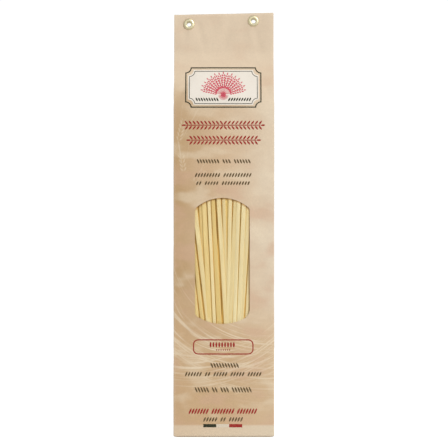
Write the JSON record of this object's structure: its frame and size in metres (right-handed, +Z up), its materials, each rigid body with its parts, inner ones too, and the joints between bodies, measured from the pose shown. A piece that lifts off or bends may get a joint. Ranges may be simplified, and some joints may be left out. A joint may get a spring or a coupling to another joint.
{
  "type": "pasta bag",
  "caption": "Tall block-bottomed paper bag of long flat pasta, with side gussets, an arched film window in front and a flat neck folded over and held by brass eyelets.",
  "frame": {"origin": "on the surface that the bag stands on, under the middle of its width and depth", "axes": "+Z up the bag, +X to the right as the window is seen from the front, +Y to the back; the window faces -Y"},
  "size_m": [0.078, 0.04, 0.331],
  "materials": {
    "bag_paper": "matte",
    "clear_film": "gloss",
    "dry_pasta": "satin",
    "eyelet_brass": "satin",
    "print_red": "matte",
    "print_brown": "matte",
    "print_green": "matte",
    "print_cream": "matte"
  },
  "bodies": {
    "root": {"paper_bag": "bag_paper", "window_film": "clear_film", "linguine": "dry_pasta", "eyelet_left": "eyelet_brass", "eyelet_right": "eyelet_brass"}
  },
  "joints": []
}
